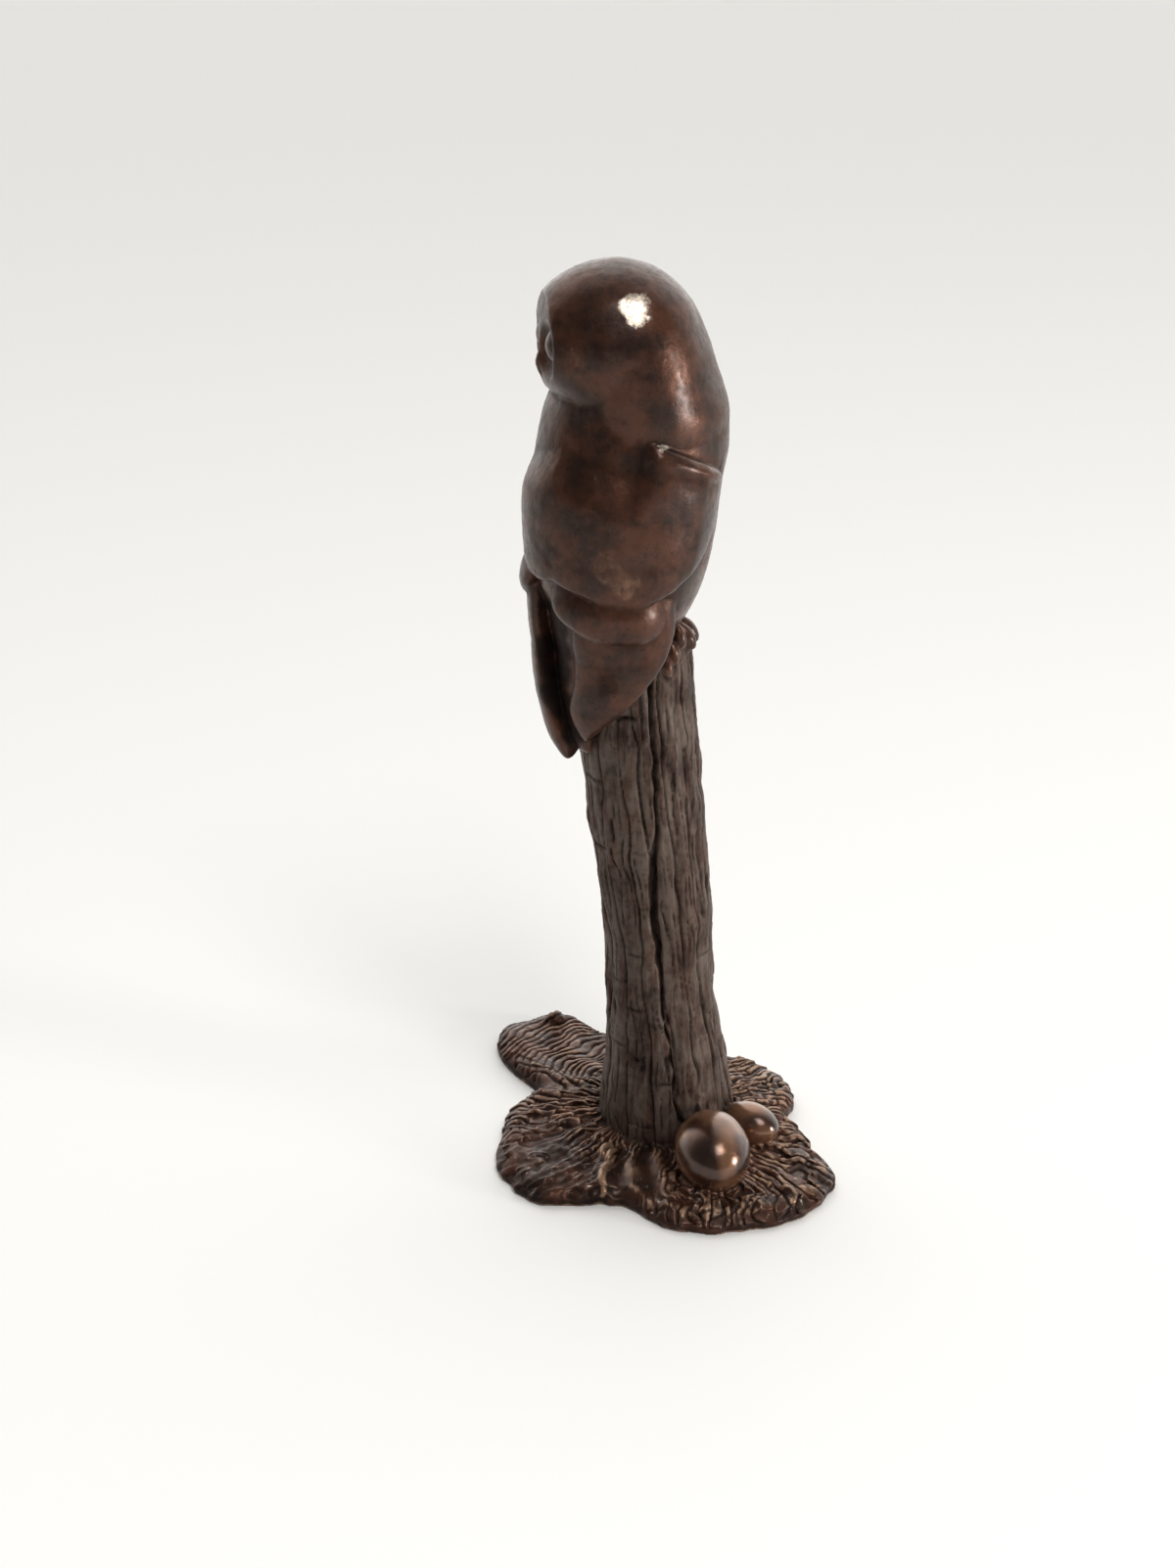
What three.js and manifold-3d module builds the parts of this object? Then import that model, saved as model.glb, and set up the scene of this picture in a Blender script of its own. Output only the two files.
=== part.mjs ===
// A small bronze casting: an owl perched on a leaning stump with a lobed root base and two pebbles.
// Millimetres, +Z up, the floor at z = 0 and the stump's foot centred on the origin.
import * as THREE from "three";
import { mergeVertices } from "three/addons/utils/BufferGeometryUtils.js";
import Module from "manifold-3d";

const wasm = await Module();
wasm.setup();

const { sin, cos, abs, sign, sqrt, min, max, exp, hypot, atan2, PI } = Math;
const { lerp, smoothstep, degToRad, radToDeg } = THREE.MathUtils;

// Driving sizes.
const overallHeight = 100;
const trunkHeight = 62;
const trunkLean = 4.6;
const trunkFootRadius = 7.6;
const trunkWaistRadius = 6.1;
const trunkTopRadius = 6.5;
const barkPlates = 13;
const barkDepth = 0.42;
const crackDepth = 0.9;
const baseReach = 22;
const rimThickness = 1.1;
const lobeHeight = 2;
const crownHeight = 3.1;
const ridgeDepth = 0.3;
const ridgeCount = 23;
const pebbleRadius = 4.35;
const smallPebbleRadius = 2.55;
const bodyHeading = degToRad(45);
const faceHeading = degToRad(192);

// The owl is measured in hundredths of its own height above its seat on the stump.
const owlHeight = overallHeight - trunkHeight;
const own = (percent) => (owlHeight * percent) / 100;
const above = (percent) => trunkHeight + own(percent);

// Height, radius and shift forward of the owl's body.
const bodyRows = [
  [-4, 16.4, 0],
  [2.6, 18.6, -1.2],
  [10.5, 21.4, -2.2],
  [21, 24, -2],
  [31.6, 25.2, -1.2],
  [42, 25.6, -0.2],
  [52.6, 25.7, 2],
  [63, 24.4, 3.2],
  [71, 22.6, 3.3],
  [79, 20.6, 2.9],
  [88, 15, 2],
];

// Share of the stump's height, share of its lean and radius there.
const trunkRows = [
  [0, 0, trunkFootRadius * 1.04],
  [0.09, 0, trunkFootRadius],
  [0.2, 0.06, lerp(trunkFootRadius, trunkWaistRadius, 0.6)],
  [0.33, 0.22, trunkWaistRadius],
  [0.52, 0.37, lerp(trunkWaistRadius, trunkTopRadius, 0.3)],
  [0.79, 0.79, trunkTopRadius],
  [1, 1, trunkTopRadius * 0.96],
];

// Share of the stump's height and heading in degrees of the long crack in its bark.
const crackRows = [
  [0, -68],
  [0.13, -80],
  [0.25, -88],
  [0.5, -94],
  [0.75, -88],
  [1, -70],
];

// Heading in degrees of the base's rim and its distance from the middle in hundredths of the reach.
const rimRows = [
  [-172.8, 86.6],
  [-164, 91],
  [-155, 95],
  [-146, 96],
  [-133, 95],
  [-119, 80],
  [-106, 73.5],
  [-96, 81],
  [-84, 90.5],
  [-66, 97],
  [-55, 101],
  [-36, 101],
  [-24, 94],
  [-14, 79],
  [0, 68],
  [8, 64],
  [17, 71],
  [28, 78],
  [40, 80.5],
  [54, 81],
  [65, 78],
  [76, 68],
  [88, 63],
  [100, 70],
  [108, 84],
  [113, 110],
  [119, 133],
  [128, 136],
  [136, 133],
  [144, 113],
  [150, 88],
  [154, 77],
  [162, 78],
  [174, 84],
  [187.2, 86.6],
];

// Reads a column of a table at a height, with a smooth curve through its rows.
function reading(rows, column, at) {
  const last = rows.length - 1;
  const slope = (row) => {
    const before = rows[max(0, row - 1)];
    const after = rows[min(last, row + 1)];
    return (after[column] - before[column]) / (after[0] - before[0]);
  };
  let row = 0;
  while (row < last - 1 && at > rows[row + 1][0]) {
    row += 1;
  }
  const span = rows[row + 1][0] - rows[row][0];
  const t = min(1, max(0, (at - rows[row][0]) / span));
  const ease = t * t * (3 - 2 * t);
  const bend = slope(row) * t * (1 - t) * (1 - t) - slope(row + 1) * t * t * (1 - t);
  return lerp(rows[row][column], rows[row + 1][column], ease) + span * bend;
}

// Moves every vertex of a geometry and makes a solid of it.
function solid(geometry, place) {
  geometry.deleteAttribute("normal");
  geometry.deleteAttribute("uv");
  const points = geometry.attributes.position;
  for (let i = 0; i < points.count; i += 1) {
    points.setXYZ(i, ...place(points.getX(i), points.getY(i), points.getZ(i)));
  }
  const welded = mergeVertices(geometry, 1e-4);
  const faces = new Uint32Array(welded.index.array);
  const made = manifold(welded, faces);
  if (made.volume() > 0) {
    return made;
  }
  for (let i = 0; i < faces.length; i += 3) {
    [faces[i], faces[i + 1]] = [faces[i + 1], faces[i]];
  }
  return manifold(welded, faces);
}

function manifold(geometry, faces) {
  const vertProperties = new Float32Array(geometry.attributes.position.array);
  return new wasm.Manifold(new wasm.Mesh({ numProp: 3, vertProperties, triVerts: faces }));
}

const ball = (around, down, place) => solid(new THREE.SphereGeometry(1, around, down), place);

function lathe(profile, around, place) {
  const points = profile.map(([across, up]) => new THREE.Vector2(across, up));
  return solid(new THREE.LatheGeometry(points, around), (x, y, z) => place(atan2(z, x), hypot(x, z), y));
}

function united(solids) {
  return solids.reduce((whole, next) => whole.add(next));
}

// Stump.
function trunkMiddle(share) {
  return -trunkLean * reading(trunkRows, 1, share);
}

function bark(heading, share) {
  const wander = 0.16 * sin(5.6 * share + 1.3) + 0.05 * sin(19 * share + 2 * heading);
  const groove = max(0, -cos(barkPlates * (heading + wander)) - 0.2);
  const fromCrack = radToDeg(heading) - reading(crackRows, 1, share);
  const gripped = 1 - smoothstep(share, 0.91, 0.97);
  return (-barkDepth * groove - crackDepth * exp(-((fromCrack / 5) ** 2))) * gripped;
}

function trunk() {
  const rings = 12;
  const bevel = 0.985;
  const profile = [[0, 0.01]];
  for (let i = 0; i <= rings; i += 1) {
    profile.push([1, lerp(0.01, bevel, i / rings)]);
  }
  profile.push([0.86, 1], [0, 1]);
  return lathe(profile, 63, (angle, across, share) => {
    const heading = -angle;
    const radius = across * (reading(trunkRows, 2, share) + bark(heading, min(share, bevel)));
    return [
      trunkMiddle(share) + radius * cos(heading),
      radius * sin(heading),
      share * trunkHeight,
    ];
  });
}

// Base.
function rimDistance(heading) {
  const degrees = radToDeg(heading);
  const turned = degrees < rimRows[0][0] ? degrees + 360 : degrees;
  return (baseReach * reading(rimRows, 1, turned)) / 100;
}

function baseTop(heading, radius, share) {
  const rise = exp(-((max(0, radius / trunkFootRadius - 1) / 0.8) ** 2));
  const edge = lerp(1, rimThickness / lobeHeight, smoothstep(share, 0.9, 1) ** 1.6);
  const ridges = cos(ridgeCount * heading + 2.4 * sin(6.6 * radius / baseReach)) * smoothstep(share, 0.2, 0.4);
  return lerp(lobeHeight * edge, crownHeight, rise) + ridgeDepth * ridges * (1 - smoothstep(share, 0.9, 1));
}

function base() {
  const shares = [1, 0.97, 0.91, 0.8, 0.66, 0.52, 0.36];
  const profile = [[0, 0], [0.97, 0], [1, 0.3]];
  shares.forEach((share) => profile.push([share, 1]));
  profile.push([0, 1]);
  return lathe(profile, 76, (angle, share, level) => {
    const heading = -angle;
    const radius = share * rimDistance(heading);
    return [radius * cos(heading), radius * sin(heading), level * baseTop(heading, radius, share)];
  });
}

// Pebbles at the stump's foot, resting against it on the base.
function pebble({ radius, heading, clearance, turned, stretch, sunk }) {
  const away = trunkFootRadius + radius * clearance;
  const up = lobeHeight + radius * (1 - sunk);
  return ball(18, 12, (x, y, z) => {
    const along = radius * stretch * x;
    const across = radius * z;
    return [
      away * cos(heading) + along * cos(turned) + across * sin(turned),
      away * sin(heading) + along * sin(turned) - across * cos(turned),
      up + radius * 0.98 * y,
    ];
  });
}

const pebbles = () => [
  pebble({
    radius: pebbleRadius,
    heading: degToRad(-64.5),
    clearance: 1.03,
    turned: degToRad(-72),
    stretch: 1.14,
    sunk: 0.39,
  }),
  pebble({
    radius: smallPebbleRadius,
    heading: degToRad(-21),
    clearance: 1.12,
    turned: degToRad(-35),
    stretch: 1.35,
    sunk: 0.31,
  }),
];

// A point of the owl: degrees round from its back towards its right wing, distance and height.
function bird(turned, radius, height) {
  const shift = own(reading(bodyRows, 2, (100 * (height - trunkHeight)) / owlHeight) - 1.6);
  const ahead = shift - radius * cos(degToRad(turned));
  const aside = radius * sin(degToRad(turned));
  return [
    ahead * cos(bodyHeading) + aside * sin(bodyHeading) - trunkLean,
    ahead * sin(bodyHeading) - aside * cos(bodyHeading),
    height,
  ];
}

// The body's radius, widest across the neck where the head turns away.
function bodyRadius(height, turned) {
  const neck = smoothstep(height, above(60), above(76)) * cos(2 * degToRad(turned - 45));
  return own(reading(bodyRows, 1, (100 * (height - trunkHeight)) / owlHeight) + 1.6 * neck);
}

function body() {
  return ball(26, 19, (x, y, z) => {
    const height = lerp(above(-4), above(88), (1 + y) / 2);
    const turned = radToDeg(atan2(z, x));
    return bird(turned, bodyRadius(height, turned) * sqrt(1 - y ** 8), height);
  });
}

// A plump layer of feathers wrapped round the body, oval in outline.
function layer({ side, middle, halfTurn, low, high, droop, inner, outer, blunt }) {
  return ball(20, 12, (x, y, z) => {
    const turned = middle + halfTurn * x;
    const top = high - droop * smoothstep(turned, middle, middle + halfTurn);
    const height = lerp(above(low), above(top), (1 + y) / 2);
    const depth = (1 + sign(z) * abs(z) ** blunt) / 2;
    return bird(side * turned, lerp(inner(height, turned), outer(height, turned), depth), height);
  });
}

// The long feathers of a wing: a blade whose two edges close to a point.
function blade({ side, low, high, edges, reach, thick }) {
  return ball(14, 14, (x, y, z) => {
    const level = (1 + y) / 2;
    const ring = max(1e-6, sqrt(1 - y * y));
    const height = lerp(above(low), above(high), level);
    const turned = lerp(reading(edges, 1, level), reading(edges, 2, level), (1 + x / ring) / 2);
    const half = own(z > 0 ? thick : 2 * thick) * min(1, ring * 1.6);
    const radius = own(lerp(reach[0], reach[1], level) + reach[2] * sin(PI * level));
    return bird(side * turned, radius + half * (z / ring), height);
  });
}

// Degrees round from the back, height of the cape's hem there and of its upper edge.
const capeRows = [
  [0, 19.4, 74],
  [20, 17, 72],
  [50, 13.6, 64],
  [62, 14, 60],
  [88, 16.4, 55],
  [111, 20, 49.5],
  [126, 24.5, 45],
  [138, 33, 40],
];

// The cape of small feathers over the mantle and both wings, which sinks into the nape.
function cape() {
  return ball(16, 32, (x, y, z) => {
    const ring = max(1e-6, sqrt(1 - y * y));
    const turned = (138 * Math.asin(y) * 2) / PI;
    const aside = abs(turned);
    const level = (1 + x / ring) / 2;
    const hem = reading(capeRows, 1, aside) + 3.4 * smoothstep(-turned, 5, 40);
    const height = above(lerp(hem, reading(capeRows, 2, aside), level));
    const sunk = smoothstep(level, 0.5, 0.95) * (1 - smoothstep(aside, 46, 60));
    const side = z / ring;
    const depth = ((1 + sign(side) * abs(side) ** 0.5) / 2) * min(1, 2 * ring);
    const skin = bodyRadius(height, turned);
    const hang = own(27.2 - 4 * smoothstep(aside, 75, 115));
    const outer = lerp(max(skin + own(2.7), hang), skin - own(1.6), sunk);
    return bird(turned, lerp(skin - own(1.4), outer, depth), height);
  });
}

function wing(side, spread) {
  const tier = (height, turned) => {
    const drawnIn = 6 * smoothstep(turned, 55, 105) + 5 * smoothstep(height, above(8), above(26));
    return own(26.8 + spread - drawnIn);
  };
  const second = layer({
    side,
    middle: 47,
    halfTurn: 56,
    low: 3.3,
    high: 32,
    droop: 0,
    inner: (height, turned) => tier(height, turned) - own(7),
    outer: tier,
    blunt: 0.6,
  });
  return second;
}

const nearBlade = () =>
  blade({
    side: 1,
    low: -28,
    high: 16,
    edges: [
      [0, 8, 11],
      [0.1, -2, 26],
      [0.2, -5, 40],
      [0.4, 5, 62],
      [0.7, 8, 84],
      [1, 10, 90],
    ],
    reach: [18.2, 23.5, 1.5],
    thick: 2.4,
  });

const farBlade = () =>
  blade({
    side: -1,
    low: -35.5,
    high: 16,
    edges: [
      [0, 8, 16],
      [0.14, 0, 40],
      [0.3, 5, 58],
      [0.5, 15, 74],
      [0.75, 22, 88],
      [1, 24, 92],
    ],
    reach: [18.4, 24, 2.6],
    thick: 3,
  });

function tail() {
  return blade({
    side: 1,
    low: -33,
    high: 18,
    edges: [
      [0, -14, 6],
      [0.3, -42, 18],
      [1, -70, 50],
    ],
    reach: [15.8, 20, 1.2],
    thick: 4.4,
  });
}

// A point of the head: forward along the face, aside to the owl's right, up from the head's middle.
function headPoint(ahead, aside, up) {
  const [x, y, z] = [-trunkLean - own(1.8), -own(1.3), above(77.6)];
  return [
    x + ahead * cos(faceHeading) - aside * sin(faceHeading),
    y + ahead * sin(faceHeading) + aside * cos(faceHeading),
    z + up,
  ];
}

const facePlane = 23.2;
function flattened(ahead) {
  const start = own(facePlane - 1.4);
  return ahead < start ? ahead : start + (ahead - start) * 0.22;
}

function head() {
  return ball(30, 18, (x, y, z) => {
    const chin = 1 - 0.62 * max(0, -y - 0.1);
    const reach = x > 0 ? 27.6 * chin : 21;
    const ahead = flattened(own(reach * x + 2.2 * y * abs(y)));
    return headPoint(ahead, own(23.6) * z, own(y > 0 ? 22.4 : 27) * y);
  });
}

function faceDish(side) {
  return ball(16, 10, (x, y, z) =>
    headPoint(own(facePlane + 5.4 + 8.6 * x), own(side * 8.4 + 10.2 * z), own(0.6 + 12 * y)));
}

function eye(side) {
  return ball(12, 8, (x, y, z) =>
    headPoint(own(facePlane - 3.8 + 3.2 * x), own(side * 8 + 4.4 * z), own(2.4 + 4.4 * y)));
}

function beak() {
  return ball(10, 10, (x, y, z) => {
    const narrow = 1 - 0.45 * (1 - y) * 0.5;
    return headPoint(own(facePlane - 2.6 + 3.4 * x - 1.2 * y * y), own(2.1 * z * narrow), own(-3.4 + 5.4 * y));
  });
}

function headed() {
  return head().subtract(faceDish(1)).subtract(faceDish(-1)).add(eye(1)).add(eye(-1)).add(beak());
}

// Toes that grip the stump's rim, and the short legs above them.
function toe(turned) {
  const rim = trunkTopRadius;
  return ball(8, 6, (x, y, z) => {
    const bend = degToRad(52);
    const thick = own(y > 0 ? 2.6 : 5.6) * y;
    const out = rim * 0.93 + own(5.2) * x * cos(bend) + thick * sin(bend);
    const up = own(-1.2) - own(5.2) * x * sin(bend) + thick * cos(bend);
    const heading = bodyHeading + PI - degToRad(-turned);
    const aside = own(2.7) * z;
    return [
      -trunkLean + out * cos(heading) - aside * sin(heading),
      out * sin(heading) + aside * cos(heading),
      trunkHeight + up,
    ];
  });
}

function foot(side) {
  const turns = [76, 100, 124];
  return turns.map((turned) => toe(side * turned));
}

function leg(side) {
  return ball(12, 8, (x, y, z) => {
    const [cx, cy] = bird(side * 115, own(9), trunkHeight);
    return [cx + own(5) * x, cy + own(5) * z, trunkHeight + own(1 + 9 * y)];
  });
}

function cast() {
  const owl = [
    body(),
    cape(),
    wing(1, 0),
    wing(-1, 2),
    nearBlade(),
    farBlade(),
    tail(),
    headed(),
    ...foot(1),
    ...foot(-1),
    leg(1),
    leg(-1),
  ];
  return united([trunk(), base(), ...pebbles(), ...owl]);
}

function meshed(name, whole, material) {
  const { numProp, vertProperties, triVerts } = whole.getMesh();
  const geometry = new THREE.BufferGeometry();
  const positions = new Float32Array((vertProperties.length / numProp) * 3);
  for (let i = 0; i < positions.length / 3; i += 1) {
    positions.set(vertProperties.subarray(i * numProp, i * numProp + 3), i * 3);
  }
  geometry.setAttribute("position", new THREE.BufferAttribute(positions, 3));
  geometry.setIndex(new THREE.BufferAttribute(triVerts, 1));
  geometry.computeVertexNormals();
  const mesh = new THREE.Mesh(geometry, material);
  mesh.name = name;
  return mesh;
}

const bronze = new THREE.MeshStandardMaterial({ color: 0x4a2f22, roughness: 0.38, metalness: 0.9 });

const group = new THREE.Group();
group.name = "bronze_owl";
group.add(meshed("bronze_owl_on_stump", cast(), bronze));

export default group;
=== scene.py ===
import math
from functools import partial
import bpy
import numpy as np
from mathutils import Matrix, Vector
from mathutils.kdtree import KDTree


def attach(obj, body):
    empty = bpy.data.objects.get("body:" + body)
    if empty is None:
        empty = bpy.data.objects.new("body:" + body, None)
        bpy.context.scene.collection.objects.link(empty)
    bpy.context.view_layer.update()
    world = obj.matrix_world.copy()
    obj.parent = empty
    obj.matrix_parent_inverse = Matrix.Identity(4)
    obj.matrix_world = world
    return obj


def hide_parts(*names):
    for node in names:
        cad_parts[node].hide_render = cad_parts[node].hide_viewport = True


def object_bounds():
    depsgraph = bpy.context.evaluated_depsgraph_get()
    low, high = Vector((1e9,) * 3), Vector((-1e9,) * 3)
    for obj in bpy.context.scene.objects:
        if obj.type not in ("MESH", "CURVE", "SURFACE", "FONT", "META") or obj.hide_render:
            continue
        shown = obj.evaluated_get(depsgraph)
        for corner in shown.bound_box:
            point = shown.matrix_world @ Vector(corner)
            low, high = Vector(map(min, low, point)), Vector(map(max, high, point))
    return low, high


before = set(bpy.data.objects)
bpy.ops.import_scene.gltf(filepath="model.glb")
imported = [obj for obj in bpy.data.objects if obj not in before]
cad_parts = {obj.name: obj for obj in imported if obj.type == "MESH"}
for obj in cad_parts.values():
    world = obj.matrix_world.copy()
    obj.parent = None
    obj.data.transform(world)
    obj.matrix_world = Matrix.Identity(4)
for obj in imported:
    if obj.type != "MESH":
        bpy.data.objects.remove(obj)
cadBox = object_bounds()

# Everything below is worked out in millimetres and turned into metres when a mesh is made.
metre = 0.001

casting = {
    "height": 100,
    "voxel": 0.165,   # grain of the remesh that joins the forms
    "triangles": 194000,
    "filletRounds": 3,                  # how far the joints between forms are softened
    "neckRounds": 80,  # extra softening where the head runs into the back
    "floorSnap": (0.14, 0.05),          # what lies lower is set on the floor, before and after the thinning
}


# Helpers for the forms.
def smooth(low, high, at):
    t = np.clip((at - low) / (high - low), 0, 1)
    return t * t * (3 - 2 * t)


def mix(a, b, t):
    return a + (b - a) * t


def readTable(rows, column, at):
    # a smooth curve through one column of a table whose first column rises
    table = np.asarray(rows, float)
    x, y = table[:, 0], table[:, column]
    last = len(x) - 1
    index = np.arange(last + 1)
    before, after = np.maximum(index - 1, 0), np.minimum(index + 1, last)
    slope = (y[after] - y[before]) / (x[after] - x[before])
    at = np.asarray(at, float)
    row = np.clip(np.searchsorted(x, at, side="left") - 1, 0, last - 1)
    span = x[row + 1] - x[row]
    t = np.clip((at - x[row]) / span, 0, 1)
    bend = slope[row] * t * (1 - t) ** 2 - slope[row + 1] * t * t * (1 - t)
    return mix(y[row], y[row + 1], t * t * (3 - 2 * t)) + span * bend


scatterWeights, scatterScale = (127.1, 311.7, 74.7, 19.19), 43758.5453


def scatter(*keys):
    # one steady pseudo random number between 0 and 1 for each set of whole numbers
    mixed = np.sin(sum(k * w for k, w in zip(keys, scatterWeights))) * scatterScale
    return mixed - np.floor(mixed)


def noise(points, size, seed):
    # soft lumps of about the given size
    p = np.asarray(points, float) / size
    cell = np.floor(p)
    f = p - cell
    f = f * f * (3 - 2 * f)
    total = 0
    for corner in range(8):
        step = np.array([corner & 1, corner >> 1 & 1, corner >> 2 & 1])
        weight = np.prod(np.where(step, f, 1 - f), axis=-1)
        at = cell + step
        total = total + weight * scatter(at[..., 0], at[..., 1], at[..., 2], seed)
    return total * 2 - 1


def plates(u, v, columns, seed):
    # u counts plates across and wraps round after the last column, v counts them along; gives how far
    # a point is from the plate's long edge and from its end, in shares of a plate, and the plate's number
    column = np.floor(u)
    wrapped = np.mod(column, columns)
    v = v * (0.75 + 0.5 * scatter(wrapped, seed)) + 7 * scatter(wrapped, seed + 1)
    row = np.floor(v)
    inside, along = u - column, v - row
    return np.minimum(inside, 1 - inside), np.minimum(along, 1 - along), scatter(wrapped, row, seed + 2)


def closedShell(rows):
    # rows x around x 3; the first and the last row are the two poles
    count, around = rows.shape[:2]
    points = np.concatenate([rows[:1, 0], rows[1:-1].reshape(-1, 3), rows[-1:, 0]])
    ring = 1 + np.arange((count - 2) * around).reshape(count - 2, around)
    turned = np.roll(ring, -1, 1)
    a, b, c, d = (x.ravel() for x in (ring[:-1], turned[:-1], turned[1:], ring[1:]))
    first = np.stack([np.zeros(around, int), turned[0], ring[0]], -1)
    last = np.stack([np.full(around, len(points) - 1), ring[-1], turned[-1]], -1)
    faces = np.concatenate([np.stack([a, b, c], -1), np.stack([a, c, d], -1), first, last])
    return points, faces


def ball(around, down, place):
    # a unit ball with its poles on y, each point placed by the form that it becomes
    turn = np.linspace(0, 2 * np.pi, around, endpoint=False)[None]
    tilt = np.linspace(0, np.pi, down + 1)[:, None]
    x, y, z = np.sin(tilt) * np.cos(turn), np.cos(tilt) + 0 * turn, np.sin(tilt) * np.sin(turn)
    return closedShell(np.stack(np.broadcast_arrays(*place(x, y, z)), -1))


def lathe(profile, around, place):
    # a profile of (across, up) pairs swept round, each pair placed by heading
    across, up = np.array(profile, float).T
    heading = np.linspace(-np.pi, np.pi, around, endpoint=False)[None]
    return closedShell(np.stack(np.broadcast_arrays(*place(heading, across[:, None], up[:, None])), -1))


# The stump.
stump = {
    "height": 62,
    "lean": 4.6,
    "footRadius": 7.6,
    "waistRadius": 6.1,
    "topRadius": 6.5,
    "meanRadius": 6.6,      # for lengths along the bark
    "crackDepth": 0.95,
    "crackWidth": 0.26,
    "columns": 15,          # plates of bark side by side round the stump
    "plateLength": 8,
    "plateLift": 0.2,       # how far plates differ in height
    "grooveDepth": 0.4,
    "grooveWidth": 0.11,
    "breakDepth": 0.14,     # cracks across a plate
    "breakWidth": 0.2,
    "fineLength": 4.6,      # the finer plates on each plate
    "fineDepth": 0.03,
    "fineWidth": 0.11,
    "dashDepth": 0.24,      # short cuts along the finer plates
    "chipDepth": 0.42,
    "slivers": 60,
}
foot, waist, top = stump["footRadius"], stump["waistRadius"], stump["topRadius"]
stumpRows = [
    [0, 0, foot * 1.04],
    [0.09, 0, foot],
    [0.2, 0.06, mix(foot, waist, 0.6)],
    [0.33, 0.22, waist],
    [0.52, 0.37, mix(waist, top, 0.3)],
    [0.79, 0.79, top],
    [1, 1, top * 0.96],
]
# share of the height, heading of the long crack
crackRows = [
    [0, -71], [0.09, -76.4], [0.15, -81], [0.27, -83.5], [0.3, -85], [0.42, -88], [0.53, -91.4], [0.61, -85],
    [0.7, -76], [0.83, -73.5], [0.93, -72], [1, -71],
]
# share of the height, heading, half width and half height of the chips knocked out of the bark
chips = [
    [0.201, -113, 0.55, 0.8], [0.211, -87, 0.35, 0.9], [0.293, -83, 0.4, 0.6], [0.854, -142, 0.6, 0.7],
    [0.871, -97, 1.1, 0.25], [0.656, -125, 0.3, 1.3], [0.492, -30, 0.4, 0.9], [0.208, -119, 0.3, 0.4],
    [0.75, -56, 0.3, 1.2], [0.35, 20, 0.5, 1], [0.7, 80, 0.5, 1.1], [0.45, 150, 0.4, 1.2],
    [0.25, 200, 0.5, 0.8],
]


def stumpMiddle(share):
    return -stump["lean"] * readTable(stumpRows, 1, share)


def stumpShell():
    def place(heading, across, share):
        # shallow wandering flutes under the bark, which end near the top
        wander = 0.16 * np.sin(5.6 * share + 1.3) + 0.05 * np.sin(19 * share + 2 * heading)
        groove = np.maximum(0, -np.cos(13 * (heading + wander)) - 0.2)
        radius = across * (readTable(stumpRows, 2, share) - 0.2 * groove * (1 - smooth(0.9, 0.97, share)))
        x, y = stumpMiddle(share) + radius * np.cos(heading), radius * np.sin(heading)
        return x, y, share * stump["height"]

    sides = [(1, s) for s in np.linspace(0.01, 0.985, 250)]
    lid = [(0.97, 0.993), (0.93, 0.998), (0.86, 1)]
    return lathe([(0, 0.01), (0.5, 0.01)] + sides + lid + [(0.5, 1), (0, 1)], 180, place)


# The root base.
roots = {
    "reach": 22,
    "rim": 1.1,
    "lobe": 2,
    "crown": 3.1,
    "ridgeDepth": 0.3,
    "frill": 0.28,                  # unevenness of the rim
    "columns": 96,                  # chased lines running out from the stump
    "lineLength": 3.1,
    "lineWidth": 0.13,
    "strokes": 420,
    "area": 900,                    # of the top, in square millimetres
    "farLobe": 128,                 # heading of the lobe behind, with its nested ridges
    "nearLobe": -143,               # and of the pebbly one at the front left
    "hollowMiddle": (-2.6, -12.6),  # the smooth hollow at the front
    "ridgeAt": -6.6,                # x of the ridge that ends it
}
# heading, distance of the rim in hundredths of the reach
rimRows = [
    [-172.8, 86.6], [-164, 91], [-155, 95], [-146, 96], [-133, 95], [-119, 80], [-106, 73.5], [-96, 81],
    [-84, 90.5], [-66, 97], [-55, 101], [-36, 101], [-24, 94], [-14, 79], [0, 68], [8, 64], [17, 71],
    [28, 78], [40, 80.5], [54, 81], [65, 78], [76, 68], [88, 63], [100, 70], [108, 84], [113, 110],
    [119, 133], [128, 136], [136, 133], [144, 113], [150, 88], [154, 77], [162, 78], [174, 84], [187.2, 86.6],
]


def rimDistance(heading):
    turned = np.degrees(heading)
    turned = np.where(turned < rimRows[0][0], turned + 360, turned)
    return roots["reach"] * readTable(rimRows, 1, turned) / 100


def rootTop(heading, radius, share):
    rise = np.exp(-(np.maximum(0, radius / foot - 1) / 0.8) ** 2)
    edge = mix(1, roots["rim"] / roots["lobe"], smooth(0.9, 1, share) ** 1.6)
    ridges = np.cos(23 * heading + 2.4 * np.sin(0.3 * radius)) * smooth(0.2, 0.4, share)
    fade = 1 - smooth(0.9, 1, share)
    return mix(roots["lobe"] * edge, roots["crown"], rise) + roots["ridgeDepth"] * 0.75 * ridges * fade


def rootShell():
    def place(heading, share, level):
        rim = rimDistance(heading)
        circle = np.stack([5 * np.cos(heading), 5 * np.sin(heading), 0 * heading], -1)
        frill = roots["frill"] * (noise(circle * 2.2, 0.9, 36) + 0.7 * noise(circle * 2.2, 0.4, 37))
        radius = share * rim + frill * smooth(0.75, 1, share)
        return radius * np.cos(heading), radius * np.sin(heading), level * rootTop(heading, radius, share)

    under = [(0, 0), (0.4, 0), (0.8, 0), (0.95, 0), (0.985, 0.03), (1, 0.12), (1.004, 0.3), (1.006, 0.6)]
    over = [(1.003, 0.88), (0.995, 0.98), (0.985, 1)] + [(s, 1) for s in np.linspace(0.97, 0.3, 90)]
    return lathe(under + over + [(0, 1)], 520, place)


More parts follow.
